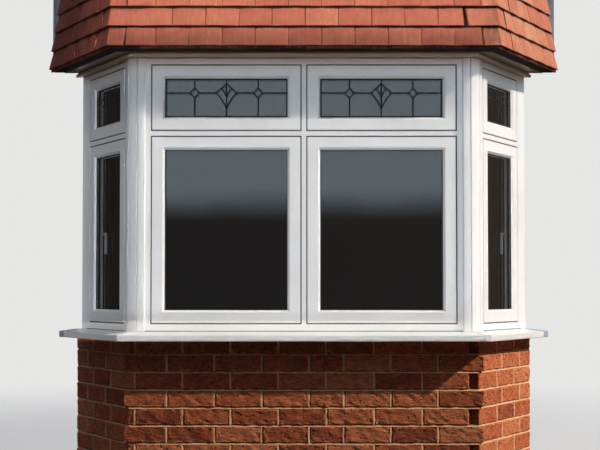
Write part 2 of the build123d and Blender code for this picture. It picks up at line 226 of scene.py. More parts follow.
def made_by(tree, name, mesh, **values):
    """Run the tree on a mesh, and keep what it makes as one object's plain mesh."""
    piece = bpy.data.objects.new(name, mesh)
    bpy.context.scene.collection.objects.link(piece)
    modifier = piece.modifiers.new(tree.name, "NODES")
    modifier.node_group = tree
    for socket in tree.interface.items_tree:
        if socket.in_out == "INPUT" and socket.name in values:
            modifier[socket.identifier] = values[socket.name]
    depsgraph = bpy.context.evaluated_depsgraph_get()
    made = bpy.data.meshes.new_from_object(piece.evaluated_get(depsgraph), depsgraph=depsgraph)
    piece.modifiers.remove(modifier)
    made.materials.clear()
    made.materials.append(values["Material"])
    made.polygons.foreach_set("material_index", [0] * len(made.polygons))
    piece.data = made
    return piece


def points_mesh(name, places, **attributes):
    """Loose points, with one attribute for each name given."""
    mesh = bpy.data.meshes.new(name)
    mesh.from_pydata(places, [], [])
    for word, values in attributes.items():
        vector = isinstance(values[0], Vector)
        layer = mesh.attributes.new(word, "FLOAT_VECTOR" if vector else "FLOAT", "POINT")
        for item, value in zip(layer.data, values):
            setattr(item, "vector" if vector else "value", value)
    return mesh


def between(ends, joints):
    """The stretches between the joints of a course, as (low, high) pairs."""
    lows = [ends[0]] + [x + joint / 2 for x in joints]
    highs = [x - joint / 2 for x in joints] + [ends[1]]
    return list(zip(lows, highs))


# The clay was dragged by the wire: the faces are creased and pitted, and mortar is
# smeared over the edges. Painted shade darkens the creases, the pits, the beds and the
# ends. Creases and pits are drawn about twice their real size, so that they show at this
# distance. An attribute, rim, is 1 at the edges of a face, 0 inside it and below 0 on the
# beds and ends, where it brings in that painted shade.
mortar_tone = "#F6B584"
fire_patch = 0.0625
crease_length = 0.026
crease_height = 0.0075
pit_size = 0.016
pit_chance = 0.26
smear_reach = 0.011
smear_size = 0.02
bed_rim = -0.6
end_rim = -0.35
facing_brick, shade, place = new_material("Wire-cut red facing brick")
tone = shade("Attribute", attribute_name="tone").outputs["Fac"]
rim = shade("Attribute", attribute_name="rim").outputs["Fac"]
firing = shade("TexNoise", Vector=place, Scale=1 / fire_patch, Detail=6, Roughness=0.7)
fired = shade("ValToRGB", shade("Math", firing, 0.6, tone, operation="MULTIPLY_ADD"), stops=[
    (0.2, "#954B3A"), (0.44, "#D07048"), (0.68, "#E88A5C"), (0.95, "#F0AE84")])
drawn = shade("VectorMath", place, (1 / crease_length, 1 / crease_length, 1 / crease_height),
              operation="MULTIPLY")
creases = shade("TexNoise", Vector=drawn, Scale=1, Detail=5, Roughness=0.75)
creased = shade("MapRange", creases, 0.36, 0.56, 0.55, 1.1)
pits = shade("TexVoronoi", Vector=place, Scale=1 / pit_size, Randomness=1, feature="F1").outputs
pit_edge = shade("MapRange", pits["Distance"], 0.16, 0.36, interpolation_type="SMOOTHSTEP")
chance = shade("SeparateColor", pits["Color"]).outputs["Red"]
whole_skin = shade("Math", chance, 1 - pit_chance, operation="LESS_THAN")
pitted = shade("Math", pit_edge, whole_skin, operation="MAXIMUM")
# Painted shade: the creases and pits, and through rim the beds and ends, are darkened.
crease_and_pit_shade = shade("Math", creased, shade("MapRange", pitted, 0, 1, 0.35, 1), operation="MULTIPLY")
painted_shade = shade("Math", crease_and_pit_shade, shade("MapRange", rim, -0.55, -0.05, 0.22, 1), operation="MULTIPLY")
bare = shade("VectorMath", fired, Scale=painted_shade, operation="SCALE")
smears = shade("TexNoise", Vector=place, Scale=1 / smear_size, Detail=3, Roughness=0.6)
smeared = shade("MapRange", shade("Math", rim, 0.44, smears, operation="MULTIPLY_ADD"),
                0.77, 0.84, interpolation_type="SMOOTHSTEP")
faces = shade("Mix", Factor=smeared, A=bare, B=linear(mortar_tone), data_type="RGBA")
relief = shade("Bump", Height=shade("Math", creases, pitted, operation="ADD"),
               Strength=1, Distance=0.006)
shade("OutputMaterial", shade("BsdfPrincipled", Base_Color=faces, Normal=relief,
                              Roughness=0.92, Specular_IOR_Level=0.15))

lumps_in_metre = 38
brick_tree, build, sizes = new_geometry_tree(
    "Bricks in a bond", Brick="Object", Material="Material", Looseness="Float",
    Roughness="Float", Seed="Int")
turn = build("GeometryNodeInputNamedAttribute", Name="turn", data_type="FLOAT")
scale = build("GeometryNodeInputNamedAttribute", Name="scale", data_type="FLOAT_VECTOR")
slack = build("FunctionNodeRandomValue", Min=(-1, -1, -1), Max=(1, 1, 1), Seed=sizes["Seed"],
              data_type="FLOAT_VECTOR")
tilt = build("VectorMath", slack, Scale=sizes["Looseness"], operation="SCALE")
turned = build("VectorMath", tilt, build("CombineXYZ", Z=turn), operation="ADD")
laid = build("GeometryNodeInstanceOnPoints", Points=sizes["Geometry"], Rotation=turned,
             Scale=scale, Instance=build("GeometryNodeObjectInfo", Object=sizes["Brick"])
             .outputs["Geometry"])
toned = build("GeometryNodeStoreNamedAttribute", data_type="FLOAT", domain="INSTANCE",
              Geometry=laid, Name="tone", Value=build(
                  "FunctionNodeRandomValue", Min=0, Max=0.38, Seed=sizes["Seed"],
                  data_type="FLOAT"))
real = build("GeometryNodeRealizeInstances", Geometry=toned)
lumps = build("TexNoise", Scale=lumps_in_metre, Detail=3).outputs["Color"]
shift = build("VectorMath", build("VectorMath", lumps, (0.5, 0.5, 0.5), operation="SUBTRACT"),
              Scale=sizes["Roughness"], operation="SCALE")
end_tree(build, sizes, build("GeometryNodeSetPosition", Geometry=real, Offset=shift))

form = rounded_block(brick, brick_rounding, (8, 1, 3), rim=smear_reach)
layer = form.verts.layers.float.new("rim")
for vertex in form.verts:
    inside = min(brick.x / 2 - abs(vertex.co.x), brick.z / 2 - abs(vertex.co.z))
    on_face = abs(vertex.co.y) > brick.y / 2 - brick_rounding / 2
    on_bed = abs(vertex.co.z) > brick.z / 2 - brick_rounding / 2
    # Beds and ends get rim values below 0, which the material turns into painted shade.
    vertex[layer] = max(0, 1 - inside / smear_reach) if on_face else bed_rim if on_bed else end_rim
brick_model = new_piece("brick_model", form, facing_brick)
spots, turns, scales = [], [], []


def lay_brick(facet, low, high, middle, height):
    """Note one brick: its ends along the facet, its depth in the wall and its foot."""
    centre = Vector(((low + high) / 2, middle, height + brick.z / 2))
    spots.append(on_facet(facet) @ centre)
    turns.append(facet_turns[facet])
    scales.append(Vector(((high - low) / brick.x, 1, 1)))


outer_leaf = brick.y / 2
inner_leaf = wall_thickness - brick.y / 2
inner_length = brick.x * 1.5
for course in range(course_total):
    foot = wall_top - course * course_height - brick.z
    kind, bond = ("long", long_course) if course % 2 else ("short", short_course)
    for low, high in between(bond["ends"], bond["joints"]):
        lay_brick("front", low, high, outer_leaf, foot)
    if kind == "short":
        lay_brick("front", *closer, outer_leaf + closer_back, foot)
    for side, sign in (("left", -1), ("right", 1)):
        start = tooth / math.cos(splay) + joint if course % 2 else 0
        for low, high in between((start, facet_length + brick.y), side_joints[kind]):
            low, high = sorted((sign * low, sign * high))
            lay_brick(side, low, high, outer_leaf, foot)
    low = side_joints[kind][0] + brick.x / 2
    lay_brick("right", low, low + inner_length, inner_leaf, foot)
    lay_brick("left", -low - inner_length, -low, inner_leaf, foot)

brickwork = made_by(brick_tree, "brickwork", points_mesh("bond", spots, turn=turns, scale=scales),
                    Brick=brick_model, Material=facing_brick,
                    Looseness=0.008, Roughness=0.014, Seed=31)
bpy.data.objects.remove(brick_model)
cut_away(brickwork, (0, -wall_gap, 0), (0, 1, 0))
fit(brickwork, "facing_brick", *[f"dwarf_wall_{facet}" for facet in facets])

# The mortar was struck slanting: each joint slopes from flush with one brick to a deep
# edge at the next, darkened there with painted shade. At the right corner the notches are
# left open, and at the left one a slip of brick and a fillet of mortar close them.
mortar_step = 0.012
mortar_waver = 0.002
wavers_in_metre = 40
mortar_gap = 0.001
flush = 0.0003
struck_back = 0.0024
raked_back = 0.0062
core_back = 0.0075
bed_batter = 0.0048
open_back = 0.03
notch_end = Vector((0.002, open_back * 0.9))
side_start = {"left": 0.02, "right": 0.1}
corner_zone = 0.01
side_slant = 0.3
fillet = ((-0.884, core_back), (-0.864, core_back), (-0.8595, 0), (-0.8575, flush),
          (-0.852, struck_back), (-0.8465, raked_back))

# Sand gives the joints a grain and a warm speckle; painted shade darkens them where they lie deep.
stain_patch = 0.111
sand_grain = 0.002
mortar, shade, place = new_material("Cement and sand mortar")
stains = shade("TexNoise", Vector=place, Scale=1 / stain_patch, Detail=5, Roughness=0.6)
sand = shade("TexNoise", Vector=place, Scale=1 / sand_grain, Detail=3, Roughness=0.7)
speckle = shade("Math", sand, 0.6, shade("Math", stains, 0.6, operation="MULTIPLY"),
                operation="MULTIPLY_ADD")
tones = shade("ValToRGB", speckle, stops=[(0.38, "#BC8558"), (0.55, mortar_tone), (0.8, "#FFD6A8")])
# Painted shade: the deeper the mortar lies in the joint, the darker its colour.
depth = shade("Attribute", attribute_name="depth").outputs["Fac"]
painted_shade = shade("VectorMath", tones, operation="SCALE",
              Scale=shade("MapRange", depth, 0.0022, 0.0052, 1, 0.2))
shade("OutputMaterial", shade(
    "BsdfPrincipled", Base_Color=painted_shade, Roughness=0.95, Specular_IOR_Level=0.15,
    Normal=shade("Bump", Height=sand, Strength=0.7, Distance=0.0015)))


def corner_point(out_front, out_side=None):
    """Right-hand plan corner of lines this far outside the brick faces."""
    out_side = out_front if out_side is None else out_side
    x = corner_x + out_side / math.sin(splay) - out_front / math.tan(splay)
    return Vector((x, -(projection + out_front)))


def wall_point(out_side):
    """Where such a line on the right-hand side meets the house wall."""
    return Vector((corner_x + side_reach + out_side / math.sin(splay), 0))


def mirrored(points):
    """Plan points from the left-hand house wall round to the right-hand one."""
    return [Vector((-p.x, p.y)) for p in reversed(points)] + points


def fine_path(points, step):
    """The same path with points no further apart than the step."""
    path = [points[0]]
    for start, end in zip(points, points[1:]):
        count = max(1, math.ceil((end - start).length / step))
        path += [start.lerp(end, number / count) for number in range(1, count + 1)]
    return path


def ridges(facet, low, high, joints):
    """Plan points along a facet: behind the bricks, and out to the face at each joint."""
    section = [(-1, core_back), (-0.6, 0), (-0.4, flush), (0.1, struck_back),
               (0.6, raked_back), (1, core_back)]
    if facet != "front":
        section = [(-reach, depth) for reach, depth in reversed(section)]
    flat = [(low, core_back)]
    for x in sorted(joints):
        flat += [(x + joint * reach, depth) for reach, depth in section]
    flat.append((high, core_back))
    return [(on_facet(facet) @ Vector((x, depth, 0))).xy for x, depth in flat]


def skin(form, rings, capped=True):
    """Faces from each closed ring of vertices to the next, and over the two ends."""
    for ring, following in zip(rings, rings[1:]):
        for number in range(len(ring)):
            after = (number + 1) % len(ring)
            form.faces.new((ring[number], ring[after], following[after], following[number]))
    if capped:
        form.faces.new(rings[0])
        form.faces.new(rings[-1])


def shell(name, form, material, slot, *replaced):
    """A piece of closed shells with their faces turned outwards, fitted to the bay."""
    bmesh.ops.recalc_face_normals(form, faces=form.faces)
    piece = new_piece(name, form, material)
    fit(piece, slot, *replaced)
    return piece


def add_layer(form, layer, outer, inner, low, high, batter=0):
    """A layer of mortar in plan between two paths, with a wavering outer face."""
    path = fine_path(outer, mortar_step)
    rows = max(1, round((high - low) / mortar_step))
    rings = []
    for row in range(rows + 1):
        z = low + (high - low) * row / rows
        ring = []
        for spot in path:
            back = noise.noise(Vector((spot.x, spot.y, z)) * wavers_in_metre) * mortar_waver
            back += batter * row / rows
            on_side = -spot.y < projection - corner_zone
            inwards = Vector((-spot.x, side_slant)).normalized() if on_side else Vector((0, 1))
            inwards *= back
            y = min(spot.y + inwards.y, -mortar_gap)
            ring.append(form.verts.new((spot.x + inwards.x, y, z)))
        ring += [form.verts.new((spot.x, min(spot.y, -mortar_gap), z)) for spot in reversed(inner)]
        for vertex in ring:
            vertex[layer] = min((into_facet @ vertex.co).y for into_facet in into_facets)
        rings.append(ring)
    skin(form, rings)


into_facets = [on_facet(facet).inverted() for facet in facets]
bed = mirrored([corner_point(-flush), wall_point(-flush)])
inner = mirrored([corner_point(-wall_thickness), wall_point(-wall_thickness)])
courses_of_mortar = {}
for kind, bond in (("short", short_course), ("long", long_course)):
    right_side = ridges("right", side_start["right"], facet_length, side_joints[kind])
    left_side = [Vector((-p.x, p.y)) for p in reversed(right_side)]
    ends = (bond["ends"][0] + open_back, bond["ends"][1] - open_back)
    core = corner_point(-open_back)
    left_turn = [Vector((-core.x, core.y))]
    right_turn = [Vector((bond["ends"][1], -projection)) + notch_end, core]
    if kind == "short":
        near = on_facet("left") @ Vector((-side_start["left"], core_back, 0))
        left_turn = [near.xy] + [Vector((x, depth - projection)) for x, depth in fillet]
        left_turn.append(Vector((bond["ends"][0] + joint, core_back - projection)))
    front = ridges("front", *ends, bond["joints"])
    courses_of_mortar[kind] = left_side + left_turn + front + right_turn + right_side
form = bmesh.new()
layer = form.verts.layers.float.new("depth")
for course in range(course_total):
    foot = wall_top - course * course_height - brick.z
    add_layer(form, layer, courses_of_mortar["long" if course % 2 else "short"], inner,
              foot, foot + brick.z)
    add_layer(form, layer, bed, inner, max(0, foot - course_height + brick.z), foot, bed_batter)
shell("mortar_joints", form, mortar, "facing_brick")

# Inner plaster and ceiling: gypsum plaster, trowelled on the brick and on board, under
# matt white emulsion. It looks chalky and keeps the nap of the roller.
cloud = 0.333
roller_nap = 0.004
plaster = mottled("Painted plaster", cloud, 4, [(0.3, "#DEDBD3"), (0.7, "#E8E6DF")],
                  (roller_nap, 2, 0.2, 0.0008), Roughness=0.8)
finish_node(plaster, "plaster", "ceiling_board", *[f"inner_plaster_{facet}" for facet in facets])

# Sill, window boards, frames, sashes, posts and head boards: extruded white PVC-U,
# welded at the mitres. It has a satin skin with a faint embossed wood grain and a little
# dust. Just under the eaves a brown tint is painted shade.
emboss_width = 0.0025
emboss_length = 0.12
dust_patch = 0.4545
eaves_shade_foot = 2.25
eaves_shade_head = 2.335


def white_plastic(name, along, colour_low, colour_high, eaves_shade_colour="#B59E8B"):
    """PVC-U with its grain embossed along one axis, and painted shade, a brown tint, under the
    eaves.
    """
    material, shade, place = new_material(name)
    fineness = [1 / emboss_width] * 3
    fineness[along] = 1 / emboss_length
    grain = shade("TexNoise", Scale=1, Detail=3, Roughness=0.6,
                  Vector=shade("VectorMath", place, fineness, operation="MULTIPLY"))
    dust = shade("TexNoise", Vector=place, Scale=1 / dust_patch, Detail=5, Roughness=0.6)
    tones = shade("ValToRGB", dust, stops=[(0.35, colour_low), (0.6, colour_high)])
    # Painted shade: the colour turns brown towards the eaves, by height.
    under_eaves = shade("MapRange", shade("SeparateXYZ", place).outputs["Z"], eaves_shade_foot,
                        eaves_shade_head, 0, 0.95, interpolation_type="SMOOTHSTEP")
    stain_and_painted_shade = shade("Mix", Factor=under_eaves, A=tones, B=linear(eaves_shade_colour), data_type="RGBA")
    shade("OutputMaterial", shade(
        "BsdfPrincipled", Base_Color=stain_and_painted_shade, Specular_IOR_Level=0.5,
        Roughness=shade("MapRange", dust, 0, 1, 0.3, 0.42),
        Normal=shade("Bump", Height=grain, Strength=0.06, Distance=0.0004)))
    return material


sash_names = {"front": [f"sash_front_{row}_{hand}" for row in ("lower", "upper")
                        for hand in ("left", "right")],
              "left": ["sash_left_lower", "sash_left_upper"],
              "right": ["sash_right_lower", "sash_right_upper"]}
pvc_upright = white_plastic("White PVC-U, upright", 2, "#E8E8E7", "#EFEFEE")
pvc_level = white_plastic("White PVC-U, level", 0, "#E8E8E7", "#EFEFEE")
finish_node(pvc_level, "white_pvc", "sill_corner_covers",
            *[f"{part}_{facet}" for part in ("sill", "window_board") for facet in facets])
finish_node(pvc_upright, "white_pvc", "corner_post_left", "corner_post_right", "wall_jambs",
            *[f"frame_{facet}" for facet in facets], *sum(sash_names.values(), []))

# The head boards and their trim are tan, painted shade for the shadow under the eaves,
# browner still towards the top.
pvc_eaves_shaded = white_plastic("PVC-U trim, tan in painted shade", 0, "#B9A894", "#CDBEAB", "#A08A74")
finish_node(pvc_eaves_shaded, "white_pvc", *[f"head_board_{facet}" for facet in facets])

# The end caps are mouldings of a bluer grey than the sill.
end_cap_plastic = white_plastic("Grey moulded plastic", 0, "#9FAFBE", "#A9B9C8")
finish_node(end_cap_plastic, "grey_plastic", "sill_end_caps")

# Gaskets: black rubber seals pushed into grooves round each sash and each pane. They
# close the gaps, which show as fine dark lines, a little paler where they have chalked.
gap_width = 0.006
gasket_slack = 0.0002
gasket_depth = 0.005
seal_inset = 0.0658
seal_width = 0.0035
seal_height = 0.00245
chalk_patch = 0.0167
rubber = mottled("Black rubber gasket", chalk_patch, 3, [(0.35, "#121214"), (0.7, "#1E1F22")],
                 Roughness=0.65)


def in_facet(node, facet):
    """The node's corners in the facet's own frame."""
    inverse = on_facet(facet).inverted()
    return [inverse @ vertex.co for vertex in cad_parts[node].data.vertices]


def extent(node, facet):
    """The node's lowest and highest corners in the facet's own frame."""
    corners = in_facet(node, facet)
    return [Vector([pick(c[axis] for c in corners) for axis in range(3)]) for pick in (min, max)]


def add_ring(form, matrix, low, high, width, near, far):
    """A mitred rectangular ring just inside the low and high corners."""
    mitres = []
    for right, up in ((0, 0), (1, 0), (1, 1), (0, 1)):
        mitre = []
        for inset, depth in ((0, near), (width, near), (width, far), (0, far)):
            x = high.x - inset if right else low.x + inset
            z = high.z - inset if up else low.z + inset
            mitre.append(form.verts.new(matrix @ Vector((x, depth, z))))
        mitres.append(mitre)
    skin(form, mitres + mitres[:1], capped=False)


form = bmesh.new()
for facet, names in sash_names.items():
    glass_near = extent(f"glass_{facet}", facet)[0].y
    for name in names:
        low, high = extent(name, facet)
        gap = Vector((1, 0, 1)) * (gap_width - gasket_slack)
        add_ring(form, on_facet(facet), low - gap, high + gap, gap_width - 2 * gasket_slack,
                 low.y + gasket_depth, low.y + 3 * gasket_depth)
        face = Vector((1, 0, 1)) * seal_inset
        add_ring(form, on_facet(facet), low + face, high - face, seal_width,
                 glass_near - seal_height, glass_near)
shell("window_gaskets", form, rubber, "grey_plastic")

# Sealant: a tooled bead of silicone where the frames stand on the sill, dark grey as a
# painted shadow line along the joint. It has a dull shine and has picked up dirt in patches.
bead = 0.0035
bead_bite = Vector((0.001, -0.0005))
bead_section = ((bead_bite.x, bead_bite.y), (-bead, bead_bite.y), (-bead * 0.9, bead * 0.3),
                (-bead * 0.3, bead * 0.9), (0, bead), (bead_bite.x, bead))
grime_patch = 0.0714
sealant_painted_shadow = mottled("Grey silicone sealant", grime_patch, 4, [(0.35, "#3B3A38"), (0.7, "#77746E")],
                   Roughness=0.5)
form = bmesh.new()
for facet in facets:
    low, high = extent(f"frame_{facet}", facet)
    skin(form, [[form.verts.new(on_facet(facet) @ Vector((x, low.y + y, low.z + z)))
                 for y, z in bead_section] for x in (low.x + bead, high.x - bead)])
shell("frame_sealant", form, sealant_painted_shadow, "grey_plastic")

# Sealed units: two panes of clear float glass in each sash, held apart by a dark
# spacer. The glass has a faint cold cast and a clear mirror image, and the pull of the
# line bends what shows in it.
pane_thickness = 0.004
spacer_width = 0.0115
draw_wave = 0.385
foam_patch = 0.025


def pane_places(facet):
    """Each sealed unit on a facet: its ends along it and its foot and head."""
    corners = in_facet(f"glass_{facet}", facet)
    heights = sorted({round(c.z, 4) for c in corners})
    edges = sorted({round(c.x, 4) for c in corners})
    units = zip(edges[::2], edges[1::2]) if len(edges) == 4 else [(edges[0], edges[-1])]
    return [(low, high, foot, head) for low, high in units
            for foot, head in ((heights[0], heights[1]), (heights[2], heights[3]))]


def add_box(form, matrix, low, high):
    """A plain box between two corners of the facet's frame."""
    size = Vector(high) - Vector(low)
    middle = Matrix.Translation((Vector(low) + Vector(high)) / 2)
    bmesh.ops.create_cube(form, size=1, matrix=matrix @ middle @ Matrix.Diagonal((*size, 1)))


float_glass, shade, place = new_material("Float glass")
draw_waves = shade("TexNoise", Vector=place, Scale=1 / draw_wave, Detail=1)
shade("OutputMaterial", shade(
    "BsdfPrincipled", Base_Color=linear("#F5F8FA"), Roughness=0, IOR=1.62,
    Transmission_Weight=1, Specular_Tint=linear("#CFE0EE"),
    Normal=shade("Bump", Height=draw_waves, Strength=0.25, Distance=0.002)))
spacer_foam = mottled("Black warm-edge spacer", foam_patch, 3,
                      [(0.35, "#161719"), (0.7, "#26282A")], Roughness=0.7)
panes = bmesh.new()
spacers = bmesh.new()
for facet in facets:
    matrix = on_facet(facet)
    front, back = [corner.y for corner in extent(f"glass_{facet}", facet)]
    for low, high, foot, head in pane_places(facet):
        for near in (front, back - pane_thickness):
            add_box(panes, matrix, (low, near, foot), (high, near + pane_thickness, head))
        sill_side, head_side = foot + spacer_width, head - spacer_width
        for x0, x1, z0, z1 in (
                (low, high, foot, sill_side), (low, high, head_side, head),
                (low, low + spacer_width, sill_side, head_side),
                (high - spacer_width, high, sill_side, head_side)):
            add_box(spacers, matrix, (x0, front + pane_thickness, z0),
                    (x1, back - pane_thickness, z1))
shell("glass_panes", panes, float_glass, "window_glass", *[f"glass_{facet}" for facet in facets])
shell("glass_spacers", spacers, spacer_foam, "window_glass")

# Leads on the top lights: flat lead came stuck to the outer pane in a fan and diamond
# pattern, soldered where it crosses. It is nearly black, with a bloom that dulls it.
came_width = 0.007
came_height = 0.0016
solder_width = 0.0085
glass_cover = 0.01
level_from_head = 0.073
diamond = Vector((0.0235, 0.0255))
diamond_inset = 0.24
fan = {"half": 0.053, "above": 0.048, "below": 0.086, "inner": 0.022}
fan_pull = (0.3, -0.034)
inner_pull = (0.16, 0.004)
side_narrowing = 0.72
bloom_patch = 0.0111
lead_came = mottled("Lead came", bloom_patch, 4, [(0.35, "#14161A"), (0.7, "#24272C")],
                    dullness=(0.4, 0.65), Metallic=0.15, Specular_IOR_Level=0.2)

strip_tree, build, sizes = new_geometry_tree(
    "Strip along lines", Width="Float", Height="Float", Knot="Float", Material="Material")
level = build("GeometryNodeSetCurveNormal", mode="Z_UP",
              Curve=build("GeometryNodeMeshToCurve", Mesh=sizes["Geometry"]))
radius = build("Math", sizes["Width"], 0.5, operation="MULTIPLY")
flatness = build("Math", sizes["Height"], sizes["Width"], operation="DIVIDE")
circle = build("GeometryNodeCurvePrimitiveCircle", Resolution=10, Radius=radius)
profile = build("GeometryNodeTransform", Geometry=circle.outputs["Curve"],
                Scale=build("CombineXYZ", 1, flatness, 1))
strip = build("GeometryNodeCurveToMesh", Curve=level, Profile_Curve=profile, Fill_Caps=True)
knot = build("GeometryNodeMeshUVSphere", Segments=12, Rings=6,
             Radius=build("Math", sizes["Knot"], 0.5, operation="MULTIPLY")).outputs["Mesh"]
marked = build("GeometryNodeInputNamedAttribute", Name="knot", data_type="FLOAT")
knots = build("GeometryNodeInstanceOnPoints", Points=sizes["Geometry"], Instance=knot,
              Selection=build("FunctionNodeCompare", A=marked, B=0.5, data_type="FLOAT"),
              Scale=build("CombineXYZ", 1, 1, flatness))
both = build("GeometryNodeJoinGeometry", Geometry=strip)
strip_tree.links.new(knots.outputs[0], both.inputs[0])
end_tree(build, sizes, both)


def lines_mesh(name, lines, knots):
    """A mesh of open lines, each a list of flat points, and of the knots on them."""
    places, edges = [], []
    for line in lines:
        edges += [(len(places) + n, len(places) + n + 1) for n in range(len(line) - 1)]
        places += line
    marks = [0.0] * len(places) + [1.0] * len(knots)
    mesh = points_mesh(name, [(x, y, 0) for x, y in places + list(knots)], knot=marks)
    mesh.edges.add(len(edges))
    mesh.edges.foreach_set("vertices", [number for edge in edges for number in edge])
    return mesh


def swept(start, end, pull, steps=8):
    """A curve from start to end that is drawn towards the pull point."""
    start, end, pull = Vector(start), Vector(end), Vector(pull)
    points = []
    for number in range(steps + 1):
        t = number / steps
        points.append(tuple(start * (1 - t) ** 2 + pull * 2 * t * (1 - t) + end * t ** 2))
    return points


def lead_pattern(low, high, foot, head, narrow):
    """Lines and solder knots of one top light, with a narrower pattern on the sides."""
    level = head - level_from_head
    middle = (low + high) / 2
    inset = (high - low) * diamond_inset
    half, above, below = fan["half"] * narrow, fan["above"], fan["below"]
    wide, tall = diamond.x * narrow, diamond.y
    edge = came_width / 2
    peak, tail = (middle, level + above), (middle, level - below)
    core = (middle, level - fan["inner"])
    lines = [[(low + edge, foot + edge), (high - edge, foot + edge)],
             [(low + edge, head - edge), (high - edge, head - edge)],
             [(middle, foot), (middle, head)]]
    knots = [peak, tail, core, (middle, foot + edge), (middle, head - edge)]
    for sign, end in ((-1, low), (1, high)):
        x = end - sign * inset
        tips = [(x - wide, level), (x, level + tall), (x + wide, level), (x, level - tall)]
        tip = (middle + sign * half, level)
        shoulder = (middle + sign * half / 2, level + above / 2)
        lines += [[tips[n], tips[(n + 1) % 4]] for n in range(4)]
        lines += [[(end - sign * edge, foot), (end - sign * edge, head)],
                  [(x, level + tall), (x, head)], [(x, level - tall), (x, foot)],
                  [(end, level), (x + sign * wide, level)],
                  [(x - sign * wide, level), tip], [tip, peak],
                  swept(tip, tail, (middle + sign * half * fan_pull[0], level + fan_pull[1])),
                  swept(shoulder, core,
                        (middle + sign * half * inner_pull[0], level + inner_pull[1]))]
        knots += [*tips, tip, shoulder]
    return lines, knots


def joined(name, pieces):
    """Join several objects into one, under a new name."""
    form = bmesh.new()
    for piece in pieces:
        form.from_mesh(piece.data)
    material = pieces[0].data.materials[0]
    for piece in pieces:
        bpy.data.objects.remove(piece)
    return new_piece(name, form, material)


leads = []
stand_up = Matrix.Rotation(math.radians(90), 4, "X")
for facet in facets:
    front = extent(f"glass_{facet}", facet)[0].y
    for low, high, foot, head in pane_places(facet)[1::2]:
        lines, knots = lead_pattern(low + glass_cover, high - glass_cover, foot + glass_cover,
                                    head - glass_cover, 1 if facet == "front" else side_narrowing)
        piece = made_by(strip_tree, "lead_lines", lines_mesh("lead_lines", lines, knots),
                        Width=came_width, Height=came_height, Knot=solder_width,
                        Material=lead_came)
        piece.data.transform(on_facet(facet) @ Matrix.Translation((0, front, 0)) @ stand_up)
        leads.append(piece)
fit(joined("leaded_lines", leads), "lead_sheet")

# Window handles: zinc castings with a white powder coat, screwed to the sashes on the
# room side. The coat has a soft shine and a faint orange peel.
peel_size = 0.00143
powder_coat = mottled("White powder coat", peel_size, 2, [(0.3, "#E4E4E2"), (0.7, "#ECECEA")],
                      (peel_size, 2, 0.15, 0.0003), Roughness=0.4)
finish_node(powder_coat, "handle_metal", "window_handles")

# Plates, boarding, soffits, ribs, joists and deck: sawn softwood, nailed together. It
# shows its rings as streaks along the grain. The soffits under the tiles are coloured
# nearly black as painted shade, and black felt covers the outer face of the boarding.
ring_width = 0.006
rings_in_wave = 2
grain_length = 0.35
fleck_size = 0.0067
outward = -0.3


def sawn_timber(name, direction, colours):
    """Softwood whose grain runs along a direction in plan, or upright if it is None."""
    material, shade, place = new_material(name)
    turned = shade("Mapping", Vector=place, Rotation=(0, 0, -(direction or 0)))
    fineness = (1 / ring_width, 1 / ring_width, 1 / grain_length) if direction is None else \
        (1 / grain_length, 1 / ring_width, 1 / ring_width)
    rings = shade("TexNoise", Scale=1 / rings_in_wave, Detail=5, Roughness=0.55, Distortion=0.6,
                  Vector=shade("VectorMath", turned, fineness, operation="MULTIPLY"))
    tones = shade("ValToRGB", rings, stops=list(zip((0.3, 0.5, 0.72), colours)))
    shade("OutputMaterial", shade(
        "BsdfPrincipled", Base_Color=tones, Roughness=0.85, Specular_IOR_Level=0.15,
        Normal=shade("Bump", Height=rings, Strength=0.4, Distance=0.001)))
    return material


pine = ("#8E6A40", "#B8925F", "#CDAE7E")
# Nearly black: painted shade on the soffits, and the stain of the treated battens.
stain_and_painted_shade = ("#0E0B09", "#15100E", "#1D1613")
sarking_felt = mottled("Black sarking felt", fleck_size, 3, [(0.35, "#131314"), (0.7, "#232224")],
                       Roughness=0.9, Specular_IOR_Level=0.2)
for facet in facets:
    plate_timber = sawn_timber(f"Sawn softwood, {facet} plate", facet_turns[facet], pine)
    finish_node(plate_timber, "softwood", f"head_plate_{facet}", f"boarding_{facet}")
    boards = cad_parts[f"boarding_{facet}"].data
    boards.materials.append(sarking_felt)
    for face in boards.polygons:
        face.material_index = 1 if face.normal.y < outward else 0
    soffit_timber = sawn_timber(f"Softwood in painted shade, {facet} soffit", facet_turns[facet], stain_and_painted_shade)
    finish_node(soffit_timber, "softwood", f"soffit_{facet}")
finish_node(sawn_timber("Sawn softwood, upright", None, pine), "softwood", "apron_ribs")
finish_node(sawn_timber("Sawn softwood, joists", math.radians(90), pine), "softwood",
            "ceiling_joists", "roof_joists")
finish_node(sawn_timber("Sawn softwood, deck", 0, pine), "softwood", "roof_deck")

# Eaves trim: a thin strip of PVC-U glued under the inner edge of the soffits, tinted tan
# as painted shade like the head boards.
trim_out = 0.022
trim_side_out = 0.068
trim_thickness = 0.003
head_board_face = 0.004
band_gap = 0.0006
soffit_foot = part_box("soffit_front")[0].z


def add_band(form, section):
    """A strip round the bay from wall to wall; its section is of half plans and heights."""
    edges = [[form.verts.new((p.x, min(p.y, -band_gap), height)) for p in mirrored(plan)]
             for plan, height in section]
    skin(form, list(zip(*edges)))


trim_inner = [corner_point(head_board_face), wall_point(head_board_face)]
trim_outer = [corner_point(trim_out, trim_side_out), wall_point(trim_side_out)]
trim_foot = soffit_foot - trim_thickness
form = bmesh.new()
add_band(form, [(trim_outer, soffit_foot), (trim_inner, soffit_foot),
                (trim_inner, trim_foot), (trim_outer, trim_foot)])
shell("eaves_trim", form, pvc_eaves_shaded, "white_pvc")

